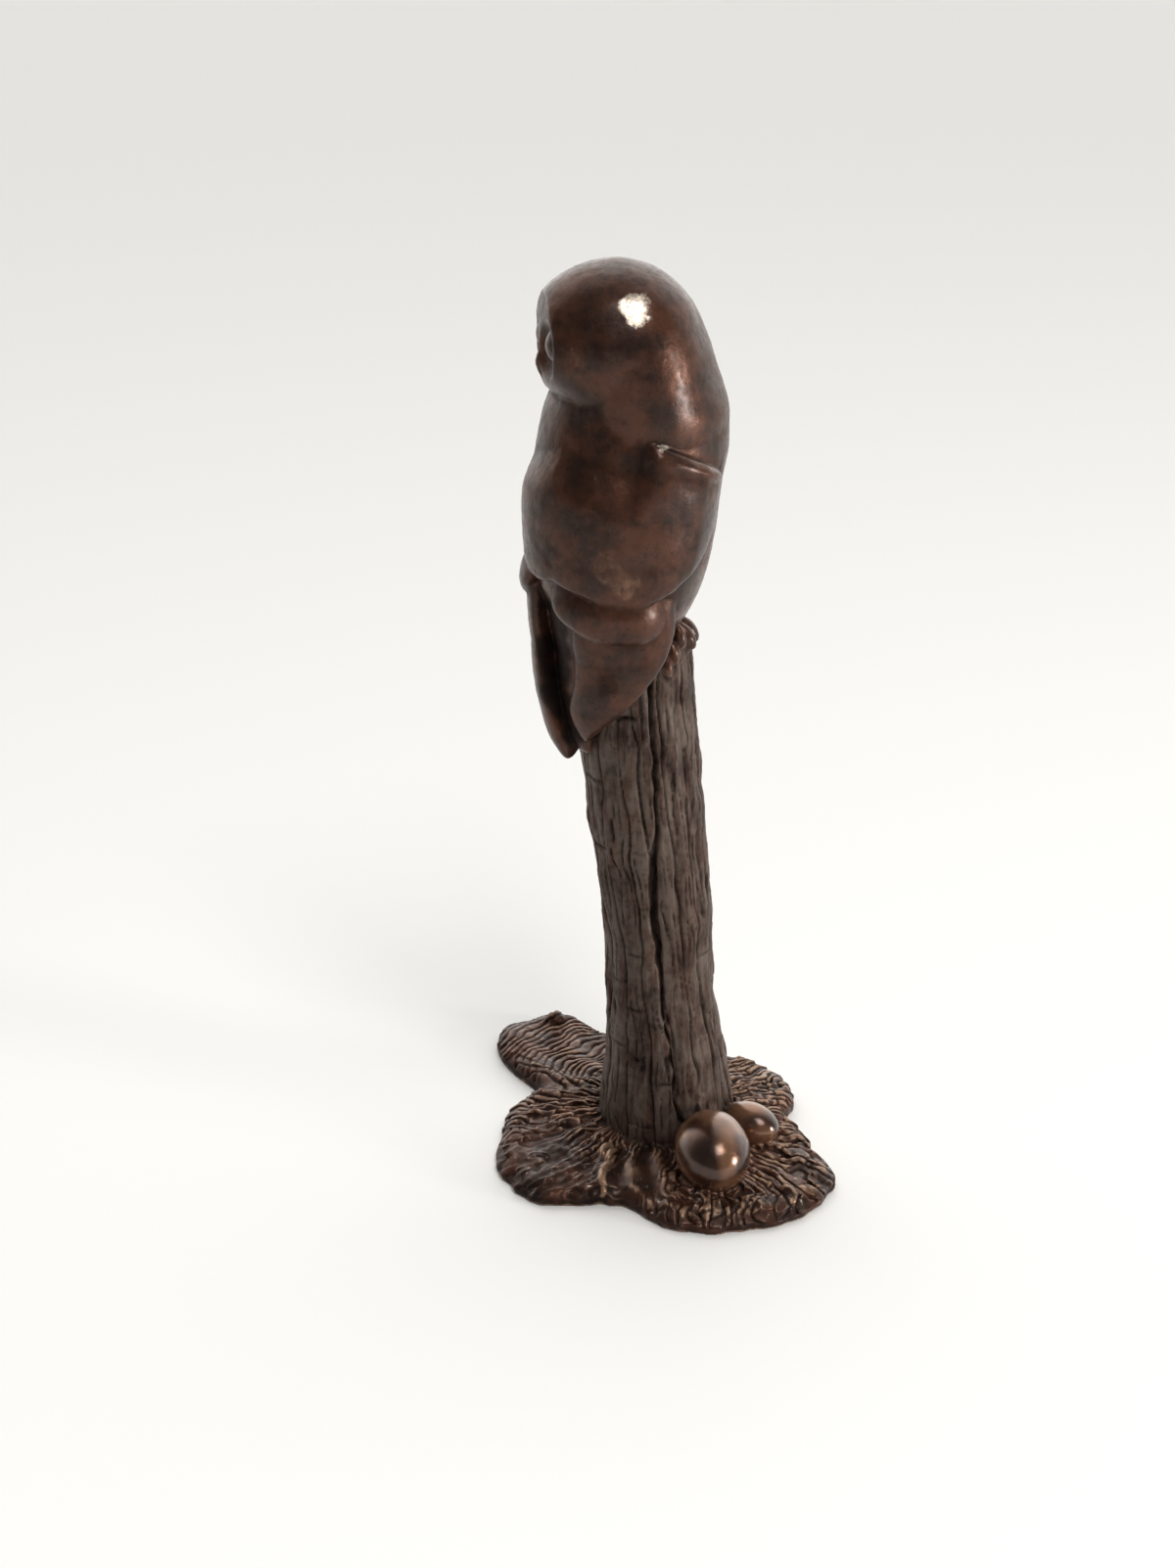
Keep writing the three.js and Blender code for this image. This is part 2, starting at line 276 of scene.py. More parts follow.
def frontHollow(points):
    # 1 in the smooth hollow at the front, and 1 along the ridge that ends it
    x, y = points[:, 0] + 0.9 * noise(points, 2.6, 39), points[:, 1]
    middleX, middleY = roots["hollowMiddle"]
    hollow = np.exp(-((x - middleX) / 3.1) ** 4 - ((y - middleY) / 4.6) ** 4)
    ridge = np.exp(-((x - roots["ridgeAt"]) / 0.42) ** 2) * smooth(-7, -8, y) * (1 - smooth(-14.6, -15.6, y))
    return hollow, ridge * (np.abs(x) < 12)


# The two pebbles, and the knob on the far lobe.
pebbles = {
    "large": dict(radius=4.2, heading=-64.5, clearance=1.1, turned=-80, stretch=1.3, sunk=0.33),
    "small": dict(radius=2.55, heading=-21, clearance=1.12, turned=-35, stretch=1.35, sunk=0.31),
}


def knobShell():
    return ball(40, 30, lambda x, y, z: (-14.2 + 1.25 * x, 22.6 + 1.1 * z, 2.1 + 0.95 * y))


def pebbleShell(radius, heading, clearance, turned, stretch, sunk):
    heading, turned = math.radians(heading), math.radians(turned)
    away = foot + radius * clearance
    up = roots["lobe"] + radius * (1 - sunk)

    def place(x, y, z):
        along, across = radius * stretch * x, radius * z
        return (away * math.cos(heading) + along * math.cos(turned) + across * math.sin(turned),
                away * math.sin(heading) + along * math.sin(turned) - across * math.cos(turned),
                up + radius * 0.98 * y)

    return ball(90, 60, place)


# The owl, in hundredths of its own height above its seat.
owl = {
    "bodyHeading": 45,
    "faceHeading": 192,
    "capeLift": 2.7,
    "shoulderRidge": 1.5,   # raised edge along the top of each wing
    "napeFill": 6.4,        # how softly the head runs into the back
    "facePlane": 23.2,
    "headDeep": 21,         # half sizes of the head
    "headWide": 23.6,
    "headAbove": 22.4,
    "headBelow": 27,
    "headLean": 2.2,        # how far its top leans towards the face
}
owlHeight = casting["height"] - stump["height"]
bodyHeading, faceHeading = math.radians(owl["bodyHeading"]), math.radians(owl["faceHeading"])
# height, radius and shift forward
bodyRows = [
    [-4, 16.4, 0], [2.6, 18.6, -1.2], [10.5, 21.4, -2.2], [21, 24, -2], [31.6, 25.2, -1.2], [42, 25.6, -0.2],
    [52.6, 25.7, 2], [63, 24.4, 3.2], [71, 22.6, 3.3], [79, 20.6, 2.9], [88, 15, 2],
]
# degrees round from the back, hem and crest of the cape
capeRows = [
    [0, 19.4, 66], [20, 17, 63], [50, 13.6, 58.4], [62, 14.4, 56.5], [88, 19.5, 51.5], [111, 27, 47],
    [126, 33, 44.5], [138, 38, 42],
]


def own(percent):
    return owlHeight * percent / 100


def above(percent):
    return stump["height"] + own(percent)


def bird(turned, radius, height):
    # a point of the body: degrees round from the back, distance from its axis and height
    shift = own(readTable(bodyRows, 2, 100 * (height - stump["height"]) / owlHeight) - 1.6)
    ahead = shift - radius * np.cos(np.radians(turned))
    aside = radius * np.sin(np.radians(turned))
    x = ahead * math.cos(bodyHeading) + aside * math.sin(bodyHeading) - stump["lean"]
    y = ahead * math.sin(bodyHeading) - aside * math.cos(bodyHeading)
    return x, y, height


def bodyRadius(height, turned):
    neck = smooth(above(60), above(76), height) * np.cos(2 * np.radians(turned - 45))
    return own(readTable(bodyRows, 1, 100 * (height - stump["height"]) / owlHeight) + 1.6 * neck)


def bodyShell():
    def place(x, y, z):
        height = mix(above(-4), above(88), (1 + y) / 2)
        turned = np.degrees(np.arctan2(z, x))
        return bird(turned, bodyRadius(height, turned) * np.sqrt(1 - y ** 8), height)

    return ball(200, 160, place)


def napeShell():
    # fills the crease between head and back, but not under the face
    middle = np.array([-stump["lean"], 0.0])
    forward = np.array([math.cos(faceHeading), math.sin(faceHeading)])
    left = np.array([-forward[1], forward[0]])

    def toBody(heading, height):
        # distance from the middle to the body, which tapers away under the head
        turned = 180 + (np.degrees(heading) - owl["bodyHeading"])
        x, y, _ = bird(0 * height, 0 * height, height)
        toX, toY = x - middle[0], y - middle[1]
        along = toX * np.cos(heading) + toY * np.sin(heading)
        across = toX * np.sin(heading) - toY * np.cos(heading)
        reach = bodyRadius(height, turned)
        tapered = own(17) * np.clip((height - above(60)) / own(32), 0, 1) ** 1.6
        return along + np.sqrt(np.maximum(0.01, reach ** 2 - across ** 2)) - tapered

    def toHead(heading, height):
        # distance from the middle to the far side of the head's oval at this height
        level = np.where(height > headMiddle[2], owl["headAbove"], owl["headBelow"])
        up = (height - headMiddle[2]) / own(level)
        ring = np.sqrt(np.maximum(1e-4, 1 - up ** 2))
        deep, wide = own(owl["headDeep"]) * ring, own(owl["headWide"]) * ring
        centre = headMiddle[:2] - middle + own(owl["headLean"]) * (up * np.abs(up))[..., None] * forward
        dx, dy = np.cos(heading), np.sin(heading)
        rayAhead, rayAside = dx * forward[0] + dy * forward[1], dx * left[0] + dy * left[1]
        ahead, aside = centre @ forward, centre @ left
        square = (rayAhead / deep) ** 2 + (rayAside / wide) ** 2
        half = -(ahead * rayAhead / deep ** 2 + aside * rayAside / wide ** 2)
        rest = (ahead / deep) ** 2 + (aside / wide) ** 2 - 1
        return (-half + np.sqrt(np.maximum(0, half ** 2 - square * rest))) / square

    def place(x, y, z):
        height = mix(above(52), above(92), (1 + y) / 2)
        heading = np.arctan2(z, x)
        body, head = toBody(heading, height), toHead(heading, height)
        fromFace = np.abs(np.mod(np.degrees(heading) - owl["faceHeading"] + 180, 360) - 180)
        soft = 0.01 + owl["napeFill"] * smooth(30, 104, fromFace)
        overlap = np.maximum(0, 1 - np.abs(body - head) / soft)
        reach = np.maximum(body, head) + soft * overlap ** 2 / 4 - 0.12
        reach = reach * (1 - y ** 40) * np.where(fromFace < 34, 0.8, 1)
        return middle[0] + reach * np.cos(heading), middle[1] + reach * np.sin(heading), height

    return ball(220, 150, place)


def capeShell():
    # the coverts of both wings, one sheet round the back
    def place(x, y, z):
        ring = np.maximum(1e-6, np.sqrt(1 - y * y))
        turned = 138 * np.arcsin(y) * 2 / np.pi
        aside = np.abs(turned)
        level = (1 + x / ring) / 2
        hem = readTable(capeRows, 1, aside) + 3.4 * smooth(5, 40, -turned)
        height = above(mix(hem, readTable(capeRows, 2, aside), level))
        sunk = smooth(0.5, 0.95, level) * (1 - smooth(46, np.where(turned > 0, 60, 88), aside))
        side = z / ring
        depth = (1 + np.sign(side) * np.abs(side) ** 0.5) / 2 * np.minimum(1, 2 * ring)
        skin = bodyRadius(height, turned)
        hang = own(27.2 - 4 * smooth(75, 115, aside))
        outer = mix(np.maximum(skin + own(owl["capeLift"]), hang), skin - own(1.6), sunk)
        outer = mix(outer, skin - own(0.4), smooth(0.4, 1, level) * smooth(25, 60, -turned))
        ridge = np.exp(-((level - 0.93) / 0.07) ** 2) * smooth(46, 62, aside) * (1 - smooth(100, 125, aside))
        outer = outer + own(owl["shoulderRidge"]) * ridge * (turned > 0)
        return bird(turned, mix(skin - own(1.4), outer, depth), height)

    return ball(120, 260, place)


# low and high in hundredths, middle and half width in degrees round from the back
tiers = {
    "near": dict(side=1, spread=0, low=3.3, high=32, middle=47, half=56),
    "far": dict(side=-1, spread=2, low=8.5, high=41, middle=65, half=42),
}


def tierShell(side, spread, low, high, middle, half):
    # the second layer of coverts, which shows under the cape's hem
    def tier(height, turned):
        drawnIn = 6 * smooth(55, 105, turned) + 5 * smooth(above(low + 5), above(low + 23), height)
        return own(26.8 + spread - drawnIn)

    def place(x, y, z):
        turned = middle + half * x
        height = mix(above(low), above(high), (1 + y) / 2)
        outer = tier(height, turned)
        depth = (1 + np.sign(z) * np.abs(z) ** 0.6) / 2
        return bird(side * turned, mix(outer - own(7), outer, depth), height)

    return ball(160, 110, place)


def bladeShell(side, low, high, edges, reach, thick, fill):
    def place(x, y, z):
        level = (1 + y) / 2
        ring = np.maximum(1e-6, np.sqrt(1 - y * y))
        height = mix(above(low), above(high), level)
        turned = mix(readTable(edges, 1, level), readTable(edges, 2, level), (1 + x / ring) / 2)
        half = own(np.where(z > 0, thick, fill)) * np.minimum(1, ring * 1.6)
        radius = own(mix(reach[0], reach[1], level) + reach[2] * np.sin(np.pi * level))
        return bird(side * turned, radius + half * z / ring, height)

    return ball(110, 150, place)


# edges: share of the height, then both edges in degrees round from the back
blades = {
    "near": dict(side=1, low=-28, high=16, reach=[18.0, 21.6, 1.7], thick=2.1, fill=4.2,
                 edges=[[0, 8, 11], [0.1, -2, 26], [0.2, -5, 40], [0.4, 5, 62], [0.7, 8, 84], [1, 10, 90]]),
    "far": dict(side=-1, low=-35.5, high=16, reach=[18.8, 23.6, 3.2], thick=1.9, fill=7.5,
                edges=[[0, 11, 17], [0.14, 11, 42], [0.3, 19, 58], [0.5, 27, 74], [0.75, 31, 88],
                       [1, 33, 92]]),
    "tail": dict(side=1, low=-33, high=18, reach=[15, 17.6, 0.6], thick=3, fill=8,
                 edges=[[0, -14, 6], [0.3, -42, 18], [1, -70, 50]]),
}


# The head, measured forward along the face, aside and up from its middle.
headMiddle = np.array([-stump["lean"] - own(1.8), -own(1.3), above(77.6)])


def headPoint(ahead, aside, up):
    x = headMiddle[0] + ahead * math.cos(faceHeading) - aside * math.sin(faceHeading)
    y = headMiddle[1] + ahead * math.sin(faceHeading) + aside * math.cos(faceHeading)
    return x, y, headMiddle[2] + up


def headShell():
    plane = owl["facePlane"]

    def place(x, y, z):
        chin = 1 - 0.62 * np.maximum(0, -y - 0.1)
        reach = np.where(x > 0, 27.6 * chin, owl["headDeep"])
        ahead = own(reach * x + owl["headLean"] * y * np.abs(y))
        start = own(plane - 1.4)
        ahead = np.where(ahead < start, ahead, start + (ahead - start) * 0.22)
        aside, up = own(owl["headWide"]) * z, own(np.where(y > 0, owl["headAbove"], owl["headBelow"])) * y
        for side in (1, -1):  # the two dished discs round the eyes
            across = ((aside - own(side * 8.4)) / own(10.2)) ** 2 + ((up - own(0.6)) / own(12)) ** 2
            dish = own(plane + 5.4) - own(8.6) * np.sqrt(np.maximum(0, 1 - across))
            ahead = np.where((across < 1) & (x > 0), np.minimum(ahead, dish), ahead)
        return headPoint(ahead, aside, up)

    return ball(220, 180, place)


def eyeShell(side):
    return ball(60, 40, lambda x, y, z: headPoint(
        own(owl["facePlane"] - 3.8 + 3.2 * x), own(side * 8 + 4.4 * z), own(2.4 + 4.4 * y)))


def beakShell():
    def place(x, y, z):
        narrow = 1 - 0.225 * (1 - y)
        ahead = own(owl["facePlane"] - 2.6 + 3.4 * x - 1.2 * y * y)
        return headPoint(ahead, own(2.1 * z * narrow), own(-3.4 + 5.4 * y))

    return ball(50, 50, place)


# degrees round from the back, how far it hangs down and its size
frontToes = [[120, 0, 1], [140, 0, 1.05], [160, 0.4, 0.95]]
hindKnuckles = [[100, -1.6, 0.78], [91, 2.4, 0.76], [83, 5.6, 0.78]]
# how steeply they point down, in degrees, and how far out they start, in shares of the stump's top
frontHold, hindHold = (52, 0.93), (74, 0.98)


def toeShell(side, hold, turned, drop, size):
    bend = math.radians(hold[0])
    heading = bodyHeading + math.pi + math.radians(side * turned)

    def place(x, y, z):
        thick = own(np.where(y > 0, 2.3, 5.2)) * y * size
        out = top * hold[1] + own(4.4) * size * x * math.cos(bend) + thick * math.sin(bend)
        up = own(-1.2 - drop) - own(4.4) * size * x * math.sin(bend) + thick * math.cos(bend)
        aside = own(2.3) * size * z
        return (-stump["lean"] + out * math.cos(heading) - aside * math.sin(heading),
                out * math.sin(heading) + aside * math.cos(heading), stump["height"] + up)

    return ball(40, 30, place)


def legShell(side):
    middleX, middleY, _ = bird(side * 115, own(9), stump["height"])
    return ball(50, 40, lambda x, y, z: (
        middleX + own(5) * x, middleY + own(5) * z, stump["height"] + own(1 + 9 * y)))


# Meshes in and out of numpy.
def meshFrom(name, points, faces):
    mesh = bpy.data.meshes.new(name)
    mesh.vertices.add(len(points))
    mesh.vertices.foreach_set("co", (points * metre).astype(np.float32).ravel())
    mesh.loops.add(faces.size)
    mesh.loops.foreach_set("vertex_index", faces.astype(np.int32).ravel())
    mesh.polygons.add(len(faces))
    mesh.polygons.foreach_set("loop_start", np.arange(0, faces.size, faces.shape[1], dtype=np.int32))
    mesh.update(calc_edges=True)
    return mesh


def objectFrom(name, mesh):
    made = bpy.data.objects.new(name, mesh)
    bpy.context.scene.collection.objects.link(made)
    return made


def readAll(items, what, width, kind=np.float32):
    flat = np.empty(len(items) * width, kind)
    items.foreach_get(what, flat)
    return flat.reshape(-1, width)


def readPoints(mesh):
    return readAll(mesh.vertices, "co", 3).astype(float) / metre


def readNormals(mesh):
    return readAll(mesh.vertex_normals, "vector", 3).astype(float)


def readEdges(mesh):
    return readAll(mesh.edges, "vertices", 2, np.int32)


def writePoints(mesh, points):
    mesh.vertices.foreach_set("co", (points * metre).astype(np.float32).ravel())
    mesh.update()


def relaxed(values, edges, rounds, weight=0.5):
    # each value moves towards the mean of its neighbours
    values = values.astype(float).copy()
    flat = values.reshape(len(values), -1)
    count = np.maximum(1, np.bincount(edges.ravel(), minlength=len(values)))
    share = np.broadcast_to(np.asarray(weight, float), len(values))
    for _ in range(rounds):
        for column in range(flat.shape[1]):
            v = flat[:, column]
            total = np.bincount(edges[:, 0], v[edges[:, 1]], len(v))
            total = total + np.bincount(edges[:, 1], v[edges[:, 0]], len(v))
            flat[:, column] = v + share * (total / count - v)
    return values


def treeOf(points):
    tree = KDTree(len(points))
    for index, point in enumerate(points.tolist()):
        tree.insert(point, index)
    tree.balance()
    return tree


def nearestOf(tree, points):
    return np.array([tree.find(point)[1] for point in points.tolist()])


def plainMesh(thing):
    # the finished result of an object's modifiers, as a plain mesh
    seen = thing.evaluated_get(bpy.context.evaluated_depsgraph_get())
    mesh = bpy.data.meshes.new_from_object(seen)
    thing.modifiers.clear()
    return mesh


# Helpers for node trees.
def fill(links, socket, value):
    # a number, a colour or another node's output
    if isinstance(value, (int, float)):
        socket.default_value = value
    elif isinstance(value, tuple):
        socket.default_value = (*value, 1)
    else:
        links.new(value, socket)


def mathsFor(nodes, links):
    # functions that each add one kind of maths node
    def maths(kind, a, b, clamp=False):
        node = nodes.new("ShaderNodeMath")
        node.operation, node.use_clamp = kind, clamp
        for socket, value in zip(node.inputs, (a, b)):
            fill(links, socket, value)
        return node.outputs[0]

    return [partial(maths, kind) for kind in ("MULTIPLY", "ADD", "SUBTRACT", "MAXIMUM")]


# Chased strokes and slivers of bark: small pads strewn over a patch and turned to lie along it.
def strokeTree():
    tree = bpy.data.node_groups.new("chasedStrokes", "GeometryNodeTree")
    face = tree.interface
    face.new_socket("Patch", in_out="INPUT", socket_type="NodeSocketGeometry")
    numbers = {"Density": 1e6, "Length": 0.0012, "Width": 0.0004, "Height": 0.0002, "Swing": 0.4}
    for name, value in numbers.items():
        face.new_socket(name, in_out="INPUT", socket_type="NodeSocketFloat").default_value = value
    face.new_socket("Seed", in_out="INPUT", socket_type="NodeSocketInt").default_value = 3
    face.new_socket("Upright", in_out="INPUT", socket_type="NodeSocketBool").default_value = False
    face.new_socket("Finish", in_out="INPUT", socket_type="NodeSocketMaterial")
    face.new_socket("Strokes", in_out="OUTPUT", socket_type="NodeSocketGeometry")
    nodes, links = tree.nodes, tree.links
    given, result = nodes.new("NodeGroupInput"), nodes.new("NodeGroupOutput")
    times = mathsFor(nodes, links)[0]

    def random(low, high, seed):
        node = nodes.new("FunctionNodeRandomValue")
        node.data_type = "FLOAT"
        node.inputs[2].default_value, node.inputs[3].default_value = low, high
        node.inputs["Seed"].default_value = seed
        return node.outputs[1]

    weight = nodes.new("GeometryNodeInputNamedAttribute")
    weight.data_type = "FLOAT"
    weight.inputs["Name"].default_value = "strokes"
    spread = nodes.new("GeometryNodeDistributePointsOnFaces")
    links.new(given.outputs["Patch"], spread.inputs["Mesh"])
    links.new(times(given.outputs["Density"], weight.outputs["Attribute"]), spread.inputs["Density"])
    links.new(given.outputs["Seed"], spread.inputs["Seed"])

    place = nodes.new("GeometryNodeInputPosition")
    flatten = nodes.new("ShaderNodeVectorMath")
    flatten.operation = "MULTIPLY"
    flatten.inputs[1].default_value = (1, 1, 0)
    links.new(place.outputs[0], flatten.inputs[0])
    along = nodes.new("GeometryNodeSwitch")  # out from the middle, or straight up
    along.input_type = "VECTOR"
    links.new(given.outputs["Upright"], along.inputs["Switch"])
    links.new(flatten.outputs[0], along.inputs["False"])
    along.inputs["True"].default_value = (-0.07, 0, 1)
    turn = nodes.new("FunctionNodeAxesToRotation")
    turn.primary_axis, turn.secondary_axis = "Z", "X"
    links.new(spread.outputs["Normal"], turn.inputs["Primary Axis"])
    links.new(along.outputs[0], turn.inputs["Secondary Axis"])
    swing = nodes.new("ShaderNodeCombineXYZ")
    links.new(times(random(-1, 1, 5), given.outputs["Swing"]), swing.inputs["Z"])
    swung = nodes.new("FunctionNodeRotateRotation")
    swung.rotation_space = "LOCAL"
    links.new(turn.outputs[0], swung.inputs["Rotation"])
    links.new(swing.outputs[0], swung.inputs["Rotate By"])

    size = nodes.new("ShaderNodeCombineXYZ")
    spans = (("Length", "X", 0.5, 1.4, 11), ("Width", "Y", 0.65, 1.25, 12), ("Height", "Z", 0.5, 1.3, 13))
    for name, axis, low, high, seed in spans:
        links.new(times(given.outputs[name], random(low, high, seed)), size.inputs[axis])
    pad = nodes.new("GeometryNodeMeshUVSphere")
    pad.inputs["Segments"].default_value = 10
    pad.inputs["Rings"].default_value = 8
    pad.inputs["Radius"].default_value = 1
    copies = nodes.new("GeometryNodeInstanceOnPoints")
    links.new(spread.outputs["Points"], copies.inputs["Points"])
    links.new(pad.outputs["Mesh"], copies.inputs["Instance"])
    links.new(swung.outputs[0], copies.inputs["Rotation"])
    links.new(size.outputs[0], copies.inputs["Scale"])
    real = nodes.new("GeometryNodeRealizeInstances")
    finish = nodes.new("GeometryNodeSetMaterial")
    links.new(copies.outputs["Instances"], real.inputs["Geometry"])
    links.new(real.outputs["Geometry"], finish.inputs["Geometry"])
    links.new(given.outputs["Finish"], finish.inputs["Material"])
    links.new(finish.outputs["Geometry"], result.inputs["Strokes"])
    return tree


def strokesOver(tree, name, shell, weights, settings, finish):
    # the strokes as points and triangles, to be joined with the other forms
    points, faces = shell
    mesh = meshFrom(name, points, faces)
    mesh.attributes.new("strokes", "FLOAT", "POINT").data.foreach_set("value", weights.astype(np.float32))
    patch = objectFrom(name, mesh)
    modifier = patch.modifiers.new("strokes", "NODES")
    modifier.node_group = tree
    for item in tree.interface.items_tree:
        if item.in_out == "INPUT" and item.name in settings:
            modifier[item.identifier] = settings[item.name]
        if item.in_out == "INPUT" and item.name == "Finish":
            modifier[item.identifier] = finish
    made = plainMesh(patch)
    made.calc_loop_triangles()
    shellMade = readPoints(made), readAll(made.loop_triangles, "vertices", 3, np.int32)
    bpy.data.objects.remove(patch)
    bpy.data.meshes.remove(made)
    return shellMade


# The finish: brown waxed patina over bronze, dark in the hollows and worn on the high spots, with painted
# highlights, painted shade and a painted dark reflection in places.
patina = {
    "brown": (0.030, 0.014, 0.010),
    "red": (0.075, 0.025, 0.012),
    "grey": (0.108, 0.081, 0.066),
    "hollow": (0.008, 0.005, 0.004),
    "worn": (0.34, 0.19, 0.12),
    "copper": (0.30, 0.15, 0.085),
    "tan": (0.27, 0.165, 0.105),
    "paintedHighlight": (0.58, 0.50, 0.41),
    "metallic": 0.5,
    "specular": 0.2,
    "roughness": 0.27,
    "wax": 0.22,            # weight of the coat
    "coatRoughness": 0.2,
    "bumpStrength": 0.35,
    "bumpDistance": 0.0002,
}


# Places on the casting in millimetres, each with its radius.
marks = {
    # painted highlights on the crown and at the front of the shoulder's ridge
    "paintedHighlight": [(-4.2, -7.4, 96.4, 1.75), (-1.3, -9.3, 83.8, 0.55), (-0.4, -9.25, 83.6, 0.5)],
    "pits": [
        (-4.4, -6.7, 97.3, 0.4), (-7.7, -9.1, 92.8, 0.35), (-5.8, -9.7, 91.8, 0.4),
        (-1.7, -8.2, 93.4, 0.35), (-1.7, -9.3, 91.0, 0.35),
    ],
    # two pale streaks on the coverts, and a painted highlight on the cheek
    "streaksAndCheekHighlight": [(-6.8, -11.0, 71.8, 2.0), (-4.8, -11.0, 69.8, 1.7), (-10.0, -8.6, 91.7, 1.0)],
    # painted shade between and inside the long blades
    "dark": [
        (-12, -4.6, 63.5, 1.9), (-11.9, -3.6, 58.8, 2.1), (-11.4, -3.8, 54.6, 1.8), (-12.8, -3.6, 65.3, 1.4),
        (-10.7, -4.3, 51.5, 1.4), (-13.2, -2.9, 60.6, 1.6), (-12.6, -3.6, 56, 1.6), (-11.9, -4.3, 61.2, 1.9),
    ],
    # painted dark reflection on the back and painted shade on the near blade
    "reflectionAndShade": [
        (-10.4, -8.9, 81.4, 1.9), (-9.6, -9.3, 79.4, 1.9), (-8.0, -9.7, 82.8, 1.5), (-6.9, -9.6, 58.8, 1.3),
        (-7.8, -9.3, 57.4, 1.1), (-2.4, -9.9, 81.0, 1.2),
    ],
}


def bronzeMaterial():
    material = bpy.data.materials.new("brownWaxedBronze")
    material.use_nodes = True
    nodes, links = material.node_tree.nodes, material.node_tree.links
    shader = nodes["Principled BSDF"]
    shader.inputs["Metallic"].default_value = patina["metallic"]
    shader.inputs["Specular IOR Level"].default_value = patina["specular"]
    shader.inputs["Coat Roughness"].default_value = patina["coatRoughness"]
    place = nodes.new("ShaderNodeTexCoord").outputs["Object"]
    times, plus, minus, larger = mathsFor(nodes, links)

    def lumps(size, detail, stretch=None, rough=0.55):
        at = place
        if stretch:
            mapping = nodes.new("ShaderNodeMapping")
            mapping.inputs["Scale"].default_value = stretch
            links.new(place, mapping.inputs["Vector"])
            at = mapping.outputs["Vector"]
        node = nodes.new("ShaderNodeTexNoise")
        node.inputs["Scale"].default_value = 1 / (size * metre)
        node.inputs["Detail"].default_value = detail
        node.inputs["Roughness"].default_value = rough
        links.new(at, node.inputs["Vector"])
        return node.outputs["Fac"]

    def ramp(value, low, high):
        node = nodes.new("ShaderNodeMapRange")
        node.interpolation_type = "SMOOTHSTEP"
        node.inputs["From Min"].default_value, node.inputs["From Max"].default_value = low, high
        links.new(value, node.inputs["Value"])
        return node.outputs["Result"]

    def colour(factor, a, b):
        node = nodes.new("ShaderNodeMix")
        node.data_type = "RGBA"
        links.new(factor, node.inputs["Factor"])
        fill(links, node.inputs[6], a)
        fill(links, node.inputs[7], b)
        return node.outputs[2]

    def painted(name):
        node = nodes.new("ShaderNodeAttribute")
        node.attribute_name = name
        return node.outputs["Fac"]

    stumpy, hollow, worn, pebbleCopper = (painted(name) for name in ("stumpy", "hollow", "worn", "pebbleCopper"))
    cloud = lumps(4.2, 6, rough=0.62)
    fleck = lumps(0.7, 6, rough=0.7)
    streak = lumps(0.9, 5, (1, 1, 0.16), 0.65)
    base = colour(ramp(cloud, 0.36, 0.64), patina["brown"], patina["red"])
    base = colour(times(ramp(lumps(1.6, 6, rough=0.7), 0.5, 0.7), 0.55), base, patina["hollow"])
    greyer = times(plus(stumpy, 0.12), ramp(plus(streak, cloud), 0.7, 1.25), True)
    base = colour(greyer, base, patina["grey"])
    base = colour(ramp(fleck, 0.56, 0.8), base, patina["hollow"])
    high = times(ramp(plus(worn, times(fleck, 0.6)), 0.75, 1.35), 0.5, True)
    base = colour(high, base, patina["worn"])
    lines = plus(painted("rooty"), times(fleck, 0.4))
    base = colour(ramp(lines, 0.55, 1.1), base, patina["tan"])
    base = colour(pebbleCopper, base, patina["copper"])
    # darker in the hollows, and painted shade and a dark reflection where the marks put them
    base = colour(hollow, base, patina["hollow"])
    # painted highlights: a pale metal colour where the marks and the flecks are high
    paintedHighlight = ramp(plus(painted("paintedHighlight"), times(fleck, 1.8)), 1.4, 2.05)
    paintedHighlight = times(paintedHighlight, minus(1.0, hollow), True)
    base = colour(paintedHighlight, base, patina["paintedHighlight"])
    links.new(base, shader.inputs["Base Color"])
    shiny = larger(painted("pebbly"), paintedHighlight)
    rough = plus(patina["roughness"], times(ramp(fleck, 0.3, 0.8), 0.2))
    rough = plus(rough, times(stumpy, 0.2))
    rough = minus(rough, times(shiny, 0.2))
    rough = plus(rough, times(hollow, 0.3), True)
    links.new(rough, shader.inputs["Roughness"])
    waxed = times(minus(1.0, times(stumpy, 0.85)), patina["wax"])
    waxed = plus(waxed, times(shiny, 0.5))
    links.new(minus(waxed, hollow, True), shader.inputs["Coat Weight"])
    bump = nodes.new("ShaderNodeBump")
    bump.inputs["Strength"].default_value = patina["bumpStrength"]
    bump.inputs["Distance"].default_value = patina["bumpDistance"]
    grain = plus(times(fleck, 0.6), times(lumps(2.2, 3), 0.9))
    grain = plus(grain, times(times(streak, stumpy), 1.6))
    links.new(grain, bump.inputs["Height"])
    links.new(bump.outputs["Normal"], shader.inputs["Normal"])
    return material


bronze = bronzeMaterial()

# All forms of the casting, with the part of it that each belongs to.
partCount = 6
stumpPart, rootPart, pebblePart, owlPart, headPart, footPart = range(partCount)
forms = [
    (stumpPart, stumpShell()),
    (rootPart, rootShell()),
    *[(pebblePart, pebbleShell(**pebble)) for pebble in pebbles.values()],
    (rootPart, knobShell()),
    (owlPart, bodyShell()),
    (owlPart, napeShell()),
    (owlPart, capeShell()),
    *[(owlPart, tierShell(**tier)) for tier in tiers.values()],
    *[(owlPart, bladeShell(**blade)) for blade in blades.values()],
    (headPart, headShell()),
    (headPart, eyeShell(1)),
    (headPart, eyeShell(-1)),
    (headPart, beakShell()),
    (footPart, legShell(1)),
    (footPart, legShell(-1)),
]
for side in (1, -1):
    for hold, rows in ((frontHold, frontToes), (hindHold, hindKnuckles)):
        forms += [(footPart, toeShell(side, hold, *row)) for row in rows]

